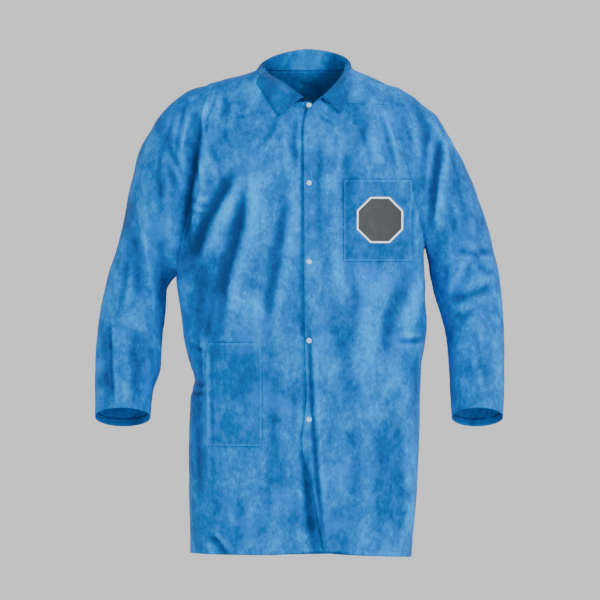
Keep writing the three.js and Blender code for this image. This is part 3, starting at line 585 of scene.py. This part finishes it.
# ---- sleeves: outer and inner outline of each sleeve (x at each height), half-depth and forward reach
sleeves = {
    "left": {
        "outer": [(3, 155), (-2, 172), (-14, 193), (-25, 211), (-37, 224), (-49, 240), (-60, 253.5), (-72, 261), (-88, 271),
                  (-117, 287), (-146, 304), (-175, 318), (-205, 331), (-234, 341), (-263, 351), (-322, 365), (-380, 378),
                  (-470, 384), (-530, 385), (-645, 380)],
        "inner": [(-306, 231), (-320, 234), (-340, 238), (-395, 247), (-450, 263), (-500, 274), (-560, 277), (-645, 281)],
    },
    "right": {
        "outer": [(3, 188), (-2, 203), (-14, 232), (-25, 248), (-37, 263), (-49, 275), (-60, 285), (-72, 294), (-88, 302),
                  (-117, 320), (-146, 330), (-175, 337), (-205, 345), (-234, 350), (-263, 355), (-322, 371), (-380, 388),
                  (-439, 400), (-500, 407), (-560, 409), (-645, 408)],
        "inner": [(-372, 252), (-385, 264), (-400, 271), (-440, 273), (-487, 279), (-549, 281), (-593, 295), (-645, 300)],
    },
    "halfDepth": [(0, 112), (0.5, 96), (1, 74), (1.5, 65), (2, 56)],
    "forward": [(0, 0), (0.5, 0), (1, 8), (1.5, 43), (2, 95)],
    "elbowZ": -400, "cuffZ": -645, "cuffTilt": 0.35, "splitAt": 0.72,
}
sleeveOuter = {side: smoothCurve(sleeves[side]["outer"]) for side in ("left", "right")}
sleeveInner = {side: smoothCurve(sleeves[side]["inner"]) for side in ("left", "right")}
sleeveDepth = smoothCurve(sleeves["halfDepth"])
sleeveForward = smoothCurve(sleeves["forward"])

def armholeDepth(side, z):
    sign = 1 if side == "left" else -1
    return abs(bodyPoint(angleAt(sign * armholeX(side, z), z), z).y)

def sleevePoint(side, angle, s):
    # s is 0 at the armhole, 1 at the elbow, 2 at the cuff; the angle is 0 outside and 90 degrees behind
    sign = 1 if side == "left" else -1
    top, bottom, elbow = shoulderZ[side], armpitZ[side], sleeves["elbowZ"]
    forearm = lerp(elbow, sleeves["cuffZ"], s - 1)
    high = lerp(top, elbow, s) if s < 1 else forearm
    low = lerp(bottom, elbow, s) if s < 1 else forearm
    share = (1 + cos(angle)) / 2
    z = lerp(low, high, share)
    innerStart = lerp(armholeX(side, bottom), sleeveInner[side](low), smooth(s, 0, 0.12))
    outerStart = lerp(armholeX(side, top), sleeveOuter[side](high), smooth(s, 0, 0.02))
    x = lerp(innerStart, outerStart, share)
    belly = sin(angle) * sleeveDepth(s)
    head = (1 if sin(angle) >= 0 else -1) * armholeDepth(side, lerp(bottom, top, share))
    y = lerp(head, belly, smooth(s, 0, 0.45))
    tilt = sleeves["cuffTilt"] * smooth(s, 1, 2)
    return Vector((sign * x, y - sleeveForward(s), z - tilt * y))

sleeveFolds = {
    "left": [
        {"line": [(262, -95), (256, -138), (249, -170), (244, -205), (238, -250), (234, -303)],
         "in": 9, "width": 9},
        {"line": [(215, -45), (232, -80), (238, -130)], "in": 4, "width": 12},
        {"line": [(285, -318), (312, -330), (340, -328), (364, -320)], "in": 4, "width": 7},
        {"line": [(308, -338), (292, -372), (262, -412)], "in": -4, "width": 9},
        {"line": [(262, -420), (300, -416), (342, -400), (372, -390)], "in": 5, "width": 9},
        {"line": [(276, -446), (300, -452), (326, -440)], "in": 4, "width": 8},
        {"line": [(290, -180), (300, -240), (292, -300)], "in": 3, "width": 16},
        {"line": [(338, -250), (334, -310), (344, -370)], "in": 3, "width": 12},
        {"line": [(300, -520), (316, -580), (312, -640)], "in": 3, "width": 14},
        {"line": [(352, -470), (344, -540), (350, -620)], "in": 3.5, "width": 12},
        {"line": [(168, -30), (186, -70), (198, -110), (204, -160)], "in": 3, "width": 5},
        {"line": [(190, -30), (208, -70), (214, -130), (218, -180)], "in": -3, "width": 6},
        {"line": [(226, -60), (250, -84), (268, -120), (272, -170)], "in": -4, "width": 5},
        {"line": [(236, -84), (226, -130), (224, -180), (222, -230)], "in": 4, "width": 6},
        {"line": [(276, -120), (292, -170), (300, -210)], "in": 2.5, "width": 6},
        {"line": [(300, -290), (290, -260), (286, -230)], "in": -3, "width": 6},
        {"line": [(322, -318), (346, -338), (366, -340)], "in": -3, "width": 5},
        {"line": [(270, -340), (266, -380), (268, -420)], "in": 3, "width": 6},
        {"line": [(330, -350), (350, -366), (372, -368)], "in": 3, "width": 6},
        {"line": [(312, -470), (330, -500), (336, -560)], "in": 3, "width": 7},
        {"line": [(290, -480), (296, -540), (292, -620)], "in": -2.5, "width": 8},
    ],
    "right": [
        {"line": [(-222, -40), (-212, -78), (-216, -136), (-222, -177), (-228, -217), (-232, -270), (-246, -350)],
         "in": 8, "width": 9},
        {"line": [(-294, -190), (-297, -230), (-294, -265)], "in": -4, "width": 8},
        {"line": [(-270, -160), (-254, -190), (-238, -216)], "in": 4.5, "width": 8},
        {"line": [(-316, -278), (-306, -340), (-294, -410)], "in": -3.2, "width": 5},
        {"line": [(-334, -286), (-328, -350), (-322, -420)], "in": 4, "width": 12},
        {"line": [(-282, -300), (-276, -350), (-274, -400)], "in": 4, "width": 10},
        {"line": [(-381, -449), (-377, -530), (-370, -622)], "in": 4.5, "width": 4},
        {"line": [(-392, -470), (-388, -540), (-380, -622)], "in": 4, "width": 7, "flat": True},
        {"line": [(-352, -450), (-344, -530), (-340, -620)], "in": -1.8, "width": 12},
        {"line": [(-306, -470), (-320, -540), (-322, -630)], "in": 3, "width": 12},
        {"line": [(-360, -200), (-340, -250), (-346, -310)], "in": 3, "width": 12},
        {"line": [(-296, -60), (-276, -100), (-272, -150)], "in": 3, "width": 14},
        {"line": [(-232, -32), (-240, -70), (-250, -110), (-250, -160)], "in": 3.5, "width": 5},
        {"line": [(-214, -34), (-226, -60), (-236, -100), (-240, -140)], "in": -3.5, "width": 4},
        {"line": [(-254, -50), (-262, -90), (-266, -120)], "in": 3, "width": 5},
        {"line": [(-268, -110), (-256, -140), (-240, -172), (-228, -200)], "in": 4, "width": 4.5},
        {"line": [(-282, -130), (-284, -180), (-276, -230)], "in": 3, "width": 6},
        {"line": [(-306, -170), (-312, -230), (-306, -290)], "in": -3, "width": 7},
        {"line": [(-262, -250), (-264, -300), (-258, -350)], "in": -3, "width": 7},
        {"line": [(-346, -330), (-352, -390), (-362, -440)], "in": 3.5, "width": 6},
        {"line": [(-330, -480), (-334, -540), (-330, -600)], "in": 3, "width": 7},
    ],
}

def buildSleeve(side, start, end, rows):
    def place(u, v):
        s = lerp(end, start, v)
        return sleevePoint(side, u * 2 * pi, s)
    bm = clothGrid(side + " sleeve", 120, rows, place, wrap=True)
    sculptSleeve(bm, side)
    return bm

def sculptSleeve(bm, side):
    # beside the armhole the sleeve moves with the body's cloth, further out by its own folds
    layer = paintedShadeLayer(bm)
    verts = list(bm.verts)
    sign = 1 if side == "left" else -1
    xs = np.array([vert.co.x / mm for vert in verts])
    zs = np.array([vert.co.z / mm for vert in verts])
    bodyPush = foldDepth(xs, zs, folds)
    ownPush = foldDepth(xs, zs, sleeveFolds[side])
    for vert, atBody, own in zip(verts, bodyPush, ownPush):
        spot = vert.co / mm
        away = smooth(sign * spot.x - armholeX(side, spot.z), 4, 34)
        low = sleeveInner[side](spot.z) if spot.z < armpitZ[side] else armholeX(side, spot.z)
        middle = sign * (sleeveOuter[side](spot.z) + low) / 2
        centre = Vector((middle, -lerp(0, 95, smooth(-spot.z, 400, 660)), spot.z))
        out = (spot - centre).normalized()
        facing = smooth(-out.y, -0.1, 0.5)
        wave = wrinkle(spot, 55, 31.0 + sign) * 1.3 + wrinkle(spot, 20, 40.0) * 0.5 - crinkle(spot)
        # "fold": painted shade along the sleeve's creases and a painted highlight on its ridges
        vert[layer] = lerp(atBody * smooth(-spot.y, -10, 40), own * facing, away) + crinkle(spot) - 0.25
        vert.co += clothShift(spot, atBody).lerp(out * (wave - own * facing), away) * mm

def sleeveAxis(point):
    sign = 1 if point.x > 0 else -1
    return Vector((sign * 0.25 if point.z > -0.3 else sign * 0.33, -0.1 * smooth(-point.z, 0.4, 0.65), point.z))

for side in ("left", "right"):
    sign = 1 if side == "left" else -1
    upper = buildSleeve(side, 0.0, sleeves["splitAt"] + 0.03, 110)
    upperPiece = finishCloth(upper, side + "SleeveUpper", sleeveCloth, sleeveAxis)
    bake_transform(upperPiece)
    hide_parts(side + "_sleeve_upper")
    lower = buildSleeve(side, sleeves["splitAt"], 2.0, 110)
    lowerPiece = finishCloth(lower, side + "SleeveLower", sleeveCloth, sleeveAxis)
    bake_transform(lowerPiece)
    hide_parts(side + "_sleeve_lower")
print("sleeves made")

# ---- facings and hems: strips laid inside the fronts and turned-up edges
trims = {"facingWidth": 42, "facingDrop": 1.6, "hemHeight": 14, "hemDrop": 1.6}

def flatSheet(name, columns, rows, place, material, thickness=0.5):
    bm = clothGrid(name, columns, rows, place)
    sculpt(bm)
    return finishCloth(bm, name, material, bodyAxis, thickness)

def facingPlace(side, u, v):
    edge = leftEdge if side == "left" else rightEdge
    sign = 1 if side == "left" else -1
    z = lerp(-886, -42, v)
    x = edge(z) + sign * lerp(1.2, trims["facingWidth"], u)
    under = underlap(x, z) if side == "right" else 0
    return bodyOffset(angleAt(x, z), z, under - trims["facingDrop"])

for side in ("left", "right"):
    facing = flatSheet(side + "Facing", 12, 168, lambda u, v: facingPlace(side, u, v), trimCloth)
    flapBlend(facing, side)
    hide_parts(side + "_facing", side + "_flap_facing")
    sign = 1 if side == "left" else -1

    def hemPlace(u, v):
        z0 = hemLevel(sign * lerp(36 if side == "left" else 60, 214, u))
        z = lerp(z0 + 1.2, z0 + trims["hemHeight"], v)
        x0 = leftEdge(z) + 1.5 if side == "left" else -rightEdge(z) + 1.5
        angle = lerp(angleAt(sign * x0, z), sideAngle(side, z, False), u)
        spot = bodyPoint(angle, z)
        under = underlap(spot.x, z) if side == "right" else 0
        return bodyOffset(angle, z, under - trims["hemDrop"] * (2 if abs(spot.x) < 75 else 1))
    hem = flatSheet(side + "Hem", 50, 4, hemPlace, trimCloth)
    flapBlend(hem, side)
    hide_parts(side + "_flap_hem", side + "_side_hem")

def backHemPlace(u, v):
    z0 = backHemHeight(u)
    z = lerp(z0 + 1.2, z0 + trims["hemHeight"], v)
    angle = lerp(sideAngle("left", z, True), sideAngle("right", z, True), u)
    return bodyOffset(angle, z, -trims["hemDrop"])

bm = clothGrid("back hem", 96, 4, backHemPlace)
sculpt(bm)
backHem = finishCloth(bm, "backHem", trimCloth, bodyAxis)
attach(backHem, "torso")
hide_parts("back_hem")
print("facings and hems made")

# ---- collar: a stand up from the neckline and a fall folded over it
collar = {
    "roll": [(-4.6, -106, -29), (-36, -78, -4), (-76, -35, 25), (-83, 0, 40), (-49, 45, 63), (4, 60, 73), (56, 45, 64),
             (78, 0, 48), (74, -35, 27), (58, -74, 2), (29, -102, -29)],
    "rollAt": [0, 0.55, 1.2, 1.6, 2.3, 3.0, 3.7, 4.4, 4.8, 5.3, 6.0],
    "edge": [(-48, -118, -64), (-56, -110, -56), (-66, -100, -40), (-86, -50, 0), (-97, -5, 17), (-84, 62, 24),
             (-45, 96, 20), (4, 104, 20), (50, 96, 20), (82, 62, 24), (90, 0, 26), (82, -50, 0), (73, -100, -38),
             (66, -116, -60)],
    "edgeAt": [0, 0.14, 0.5, 1.2, 1.6, 2.0, 2.5, 3.0, 3.5, 4.0, 4.4, 4.9, 5.6, 6.0],
    "bulge": 5, "clear": 4.5,
}

def path(points, places):
    curves = [smoothCurve([(at, point[k]) for at, point in zip(places, points)]) for k in range(3)]
    return lambda at: Vector([curve(at) for curve in curves])

rollLine = path(collar["roll"], collar["rollAt"])
leafEdge = path(collar["edge"], collar["edgeAt"])

def seamPoint(at):
    # the neckline seam: 0 at the front on the wearer's right, 3 at the nape, 6 at the front on the left
    q = lerp(0.17, 2, 1 - abs(at / 3 - 1))
    x, z = neckline(q)
    angle = angleAt(-x if at < 3 else x, z, q > 1)
    return bodyPoint(angle, z) + Vector((0, 0, 1))

def standPlace(u, v):
    at = u * 6
    low, high = seamPoint(at), rollLine(at)
    return low.lerp(high, v)

def fallPlace(u, v):
    # rises off the roll, falls in a soft arch and lands on its outer edge
    at = u * 6
    inner, outer = rollLine(at) + Vector((0, 0, 0.8)), leafEdge(at)
    spot = inner.lerp(outer, v)
    away = Vector((spot.x, spot.y - 5, 0)).normalized()
    arch = sin(pi * v) * (1 - v) * collar["bulge"]
    spot += away * (arch + 1.6) + Vector((0, 0, arch * 0.9))
    spot += away * wrinkle(spot, 34, 61.0) * 1.2 * v
    # where it lies over the shoulders and chest it stays clear of their cloth
    if spot.z < 34:
        n = squareness(spot.z)
        width = (widthLeft if spot.x > 0 else widthRight)(spot.z)
        depth = body["depth"] * depthShare(spot.z)
        reach = (abs(spot.x / width) ** n + abs(spot.y / depth) ** n) ** (1 / n)
        needed = 1 + (collar["clear"] + 1.5 * sin(v * pi)) / depth
        if reach < needed:
            pushed = lerp(reach, needed, smooth(v, 0, 0.35)) / reach
            spot.x *= lerp(1, pushed, 0.2)
            spot.y *= pushed
    return spot

def collarSheet(name, place, rows, cloth):
    bm = clothGrid(name, 132, rows, place)
    piece = finishCloth(bm, name, cloth, lambda p: Vector((0, 0, p.z - 0.02)), 1.0)
    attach(piece, "torso")
    return piece

collarStand = collarSheet("collarStand", standPlace, 14, bodyCloth)
collarFall = collarSheet("collarFall", fallPlace, 20, collarCloth)
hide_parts("collar_stand")
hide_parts("collar_fall")
print("collar made")

# ---- pockets: patches stood off the front, open at the top, with a turned-down hem
pockets = {
    "chest": {"x": 72.5, "z": -189.5, "width": 130.5, "height": 155, "rise": 4.5, "slant": 0},
    "hip": {"x": -190, "z": -501.6, "width": 104, "height": 197.5, "rise": 4.5, "slant": 0.02},
    "hem": 20,
}

def patchPlace(pocket, u, v, lift=0.0):
    # stands off by its rise at the mouth and lies close along the other three sides
    x = pocket["x"] + pocket["width"] * u
    z = pocket["z"] - pocket["height"] * (1 - v)
    bellied = pocket["rise"] * sin(pi * min(max(u, 0), 1)) ** 0.7 * v ** 1.5
    bellied += 1.1 * pocketRim(pocket, Vector((x, 0, z)))
    return bodyOffset(angleAt(x, z), z, 1.3 + bellied + lift)

def pocketRim(pocket, spot):
    # 1 along the folded edges of the patch, where the doubled cloth stands up a little, 0 inside
    across = spot.x - pocket["x"]
    down = pocket["z"] - spot.z
    nearest = min(across, pocket["width"] - across, pocket["height"] - down, down)
    return smooth(nearest, 5, 0.5)

def pocketSheet(name, pocket, u0, u1, v0, v1, lift, columns, rows):
    bm = clothGrid(name, columns, rows, lambda u, v: patchPlace(pocket, lerp(u0, u1, u), lerp(v0, v1, v), lift))
    rimHighlights = [pocketRim(pocket, vert.co / mm) for vert in bm.verts]
    sculpt(bm)
    layer = paintedShadeLayer(bm)
    # painted highlight: the pocket's folded edges are made lighter in colour
    for vert, rimHighlight in zip(bm.verts, rimHighlights):
        vert[layer] -= 4.5 * rimHighlight
    piece = finishCloth(bm, name, pocketCloth, bodyAxis, 0.5)
    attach(piece, "torso")
    return piece

pocketPieces = {}
for name in ("chest", "hip"):
    pocket = pockets[name]
    share = pockets["hem"] / pocket["height"]
    patch = pocketSheet(name + "Pocket", pocket, 0, 1, 0, 1, 0, 64, 76)
    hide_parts(name + "_pocket")
    band = pocketSheet(name + "PocketHem", pocket, 0.004, 0.996, 1 - share, 0.998, -0.9, 48, 8)
    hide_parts(name + "_pocket_hem")
    pocketPieces[name] = [patch, band]
print("pockets made")

# ---- label: a white-edged grey octagon with nothing printed on it
labelSize = {"x": 141, "z": -266, "across": 88, "border": 3.3}

def octagonReach(angle, half):
    # distance from the middle to the edge of an even octagon standing on a flat side
    return half / cos((angle + pi / 8) % (pi / 4) - pi / 8)

def labelSheet(name, half, inner, lift, material):
    chest = pockets["chest"]
    bm = bmesh.new()
    bmesh.ops.create_grid(bm, x_segments=32, y_segments=24, size=0.5)
    for vert in bm.verts:
        angle = (vert.co.x + 0.5) * 2 * pi
        r = lerp(inner, 1.0, vert.co.y + 0.5) * octagonReach(angle, half)
        x = labelSize["x"] + r * cos(angle)
        z = labelSize["z"] + r * sin(angle)
        u = (x - chest["x"]) / chest["width"]
        v = 1 - (chest["z"] - z) / chest["height"]
        vert.co = patchPlace(chest, u, v, lift) * mm
    bmesh.ops.remove_doubles(bm, verts=bm.verts, dist=1e-6)
    sculpt(bm)
    piece = finishCloth(bm, name, material, bodyAxis, 0.3)
    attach(piece, "torso")
    return piece

half = labelSize["across"] / 2
labelBorder = labelSheet("labelBorder", half, 1 - labelSize["border"] / half, 0.7, labelWhite)
labelFace = labelSheet("labelFace", half - labelSize["border"], 0.001, 0.6, labelInk)
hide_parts("label_border")
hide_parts("label_face")
print("label made")

# ---- cuff hems inside the sleeve ends
for side in ("left", "right"):
    def cuffPlace(u, v):
        spot = sleevePoint(side, u * 2 * pi, lerp(2.0, 2 - 14 / 245, v) - 0.004)
        sign = 1 if side == "left" else -1
        centre = Vector((sign * (sleeveOuter[side](-645) + sleeveInner[side](-645)) / 2, -95, spot.z))
        return spot + (centre - spot).normalized() * 0.8
    bm = clothGrid(side + " cuff", 72, 4, cuffPlace, wrap=True)
    sculptSleeve(bm, side)
    # the cuff hems take the body's slightly lighter cloth rather than the sleeves', painted light inside the sleeve
    # ends
    cuff = finishCloth(bm, side + "CuffHem", bodyCloth, sleeveAxis)
    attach(cuff, side + "_forearm")
    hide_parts(side + "_cuff_hem")

# ---- sewing: short thread stitches along the fronts' yoke, hem, edge and facing seams, round the cuffs and round the pockets
sewing = {"stitch": 3.0, "space": 1.3, "thickness": 0.45, "lift": 0.15}

def threadMaterial():
    # spun polyester sewing thread, dyed a shade lighter than the cloth, slightly shiny where it is pulled tight
    material, tree, shader = newMaterial("spun polyester thread")
    place = addNode(tree, "ShaderNodeTexCoord").outputs["Object"]
    ply = addNode(tree, "ShaderNodeTexNoise", {"Vector": place, "Scale": 1500, "Detail": 2})
    shade = addNode(tree, "ShaderNodeMix", {"Factor": ply.outputs["Fac"], "A": linearColour("#064c88"),
                                            "B": linearColour("#1c74b8")}, data_type="RGBA")
    tree.links.new(shade.outputs[2], shader.inputs["Base Color"])
    relief = addNode(tree, "ShaderNodeBump", {"Height": ply.outputs["Fac"], "Strength": 0.2, "Distance": 0.0001})
    tree.links.new(relief.outputs["Normal"], shader.inputs["Normal"])
    shader.inputs["Roughness"].default_value = 0.5
    shader.inputs["Sheen Weight"].default_value = 0.2
    return material

thread = threadMaterial()

def stitchRow(name, place, sleeve=None, steps=160):
    # place(t) gives the seam in mm for t from 0 to 1; the row is pushed about exactly like the cloth under it
    line = bmesh.new()
    verts = [line.verts.new(place(k / steps) * mm) for k in range(steps + 1)]
    for a, b in zip(verts, verts[1:]):
        line.edges.new((a, b))
    if sleeve:
        sculptSleeve(line, sleeve)
    else:
        sculpt(line)
    spots = [vert.co / mm for vert in line.verts]
    line.free()
    bm = bmesh.new()
    run = 0.0
    pitch = sewing["stitch"] + sewing["space"]
    due = 0.5
    for a, b in zip(spots, spots[1:]):
        length = (b - a).length
        while due <= run + length and length > 0:
            middle = a.lerp(b, (due - run) / length)
            turn = (b - a).to_track_quat("Z", "Y").to_matrix().to_4x4()
            turn.translation = middle * mm
            bmesh.ops.create_cone(bm, cap_ends=True, segments=5, radius1=sewing["thickness"] / 2 * mm,
                                  radius2=sewing["thickness"] / 2 * mm, depth=sewing["stitch"] * mm, matrix=turn)
            due += pitch
        run += length
    mesh = bpy.data.meshes.new(name)
    bm.to_mesh(mesh)
    bm.free()
    mesh.materials.append(thread)
    piece = bpy.data.objects.new(name, mesh)
    bpy.context.collection.objects.link(piece)
    return piece

for side in ("left", "right"):
    sign = 1 if side == "left" else -1
    edge = leftEdge if side == "left" else rightEdge
    inset = trims["facingWidth"] - 3
    rows = {
        "YokeSeam": lambda t: frontPlace(side, lerp(0.02, 0.99, t), 0.992, sewing["lift"]),
        "HemSeam": lambda t: frontPlace(side, lerp(0.02, 0.99, t), (trims["hemHeight"] - 2) / 870, sewing["lift"]),
        "EdgeSeam": lambda t: frontPlace(side, 0.012, lerp(0.004, 0.99, t), sewing["lift"]),
    }
    def facingSeam(t):
        z = lerp(-893, -60, t)
        x = edge(z) + sign * inset
        under = underlap(x, z) if side == "right" else 0
        return bodyOffset(angleAt(x, z), z, under + sewing["lift"])
    rows["FacingSeam"] = facingSeam
    for name, place in rows.items():
        row = stitchRow(side + name, place)
        if name == "YokeSeam":
            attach(row, "torso")
        else:
            flapBlend(row, side)
    cuffRow = stitchRow(side + "CuffSeam", lambda t: sleevePoint(side, t * 2 * pi, 2 - 10 / 245), sleeve=side)
    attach(cuffRow, side + "_forearm")
print("seams sewn")

for name in ("chest", "hip"):
    pocket = pockets[name]
    inset = 2.4
    du, dv = inset / pocket["width"], inset / pocket["height"]
    corner = [(du, 1 - dv), (du, dv), (1 - du, dv), (1 - du, 1 - dv)]
    for number, (a, b) in enumerate(zip(corner, corner[1:])):
        row = stitchRow(name + "PocketSeam" + str(number), lambda t: patchPlace(
            pocket, lerp(a[0], b[0], t), lerp(a[1], b[1], t), sewing["lift"]))
        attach(row, "torso")
    row = stitchRow(name + "PocketHemSeam", lambda t: patchPlace(
        pocket, lerp(0.01, 0.99, t), 1 - (pockets["hem"] - 2) / pocket["height"], sewing["lift"]))
    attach(row, "torso")

# ---- snaps: the frame's own solids in moulded plastic
for name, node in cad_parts.items():
    if name.startswith("snap"):
        node.data.materials.clear()
        node.data.materials.append(snapPlastic)
print("snaps finished")
# ---- stage, light and camera
stageSizes = {"floorZ": -1.5, "floorHalf": 6.0, "eye": (-0.0117, -8.125, -0.41925), "lens": 250}

def stagePlane():
    bm = bmesh.new()
    bmesh.ops.create_grid(bm, x_segments=1, y_segments=1, size=stageSizes["floorHalf"])
    for vert in bm.verts:
        vert.co.z = stageSizes["floorZ"]
    mesh = bpy.data.meshes.new("floor")
    bm.to_mesh(mesh)
    bm.free()
    floor = bpy.data.objects.new("floor", mesh)
    bpy.context.collection.objects.link(floor)
    material, tree, shader = newMaterial("pale matt paint")
    place = addNode(tree, "ShaderNodeTexCoord").outputs["Object"]
    blotch = addNode(tree, "ShaderNodeTexNoise", {"Vector": place, "Scale": 3, "Detail": 2})
    shade = addNode(tree, "ShaderNodeMix", {"Factor": blotch.outputs["Fac"], "A": linearColour("#eeeeec"),
                                            "B": linearColour("#f4f4f2")}, data_type="RGBA")
    tree.links.new(shade.outputs[2], shader.inputs["Base Color"])
    shader.inputs["Roughness"].default_value = 0.9
    mesh.materials.append(material)

stagePlane()
world = bpy.data.worlds.new("white studio")
bpy.context.scene.world = world
world.use_nodes = True
world.node_tree.nodes["Background"].inputs["Color"].default_value = (1, 1, 1, 1)
world.node_tree.nodes["Background"].inputs["Strength"].default_value = 0.9

def softBox(name, place, aim, size, power):
    lamp = bpy.data.lights.new(name, "AREA")
    lamp.shape = "RECTANGLE"
    lamp.size, lamp.size_y = size
    lamp.energy = power
    holder = bpy.data.objects.new(name, lamp)
    holder.location = place
    holder.rotation_euler = (Vector(aim) - Vector(place)).to_track_quat("-Z", "Y").to_euler()
    bpy.context.collection.objects.link(holder)

softBox("key", (2.2, -2.2, 1.3), (0, 0, -0.4), (0.8, 0.8), 90)
softBox("low front", (0.4, -3.6, -1.2), (0, 0, -0.5), (1.2, 0.6), 34)
softBox("fill", (-3.2, -1.4, 0.0), (0, 0, -0.4), (0.8, 1.6), 30)

eye = bpy.data.cameras.new("camera")
eye.lens = stageSizes["lens"]
eye.sensor_width = 36
camera = bpy.data.objects.new("camera", eye)
camera.location = stageSizes["eye"]
camera.rotation_euler = (radians(90), 0, 0)
bpy.context.collection.objects.link(camera)
bpy.context.scene.camera = camera
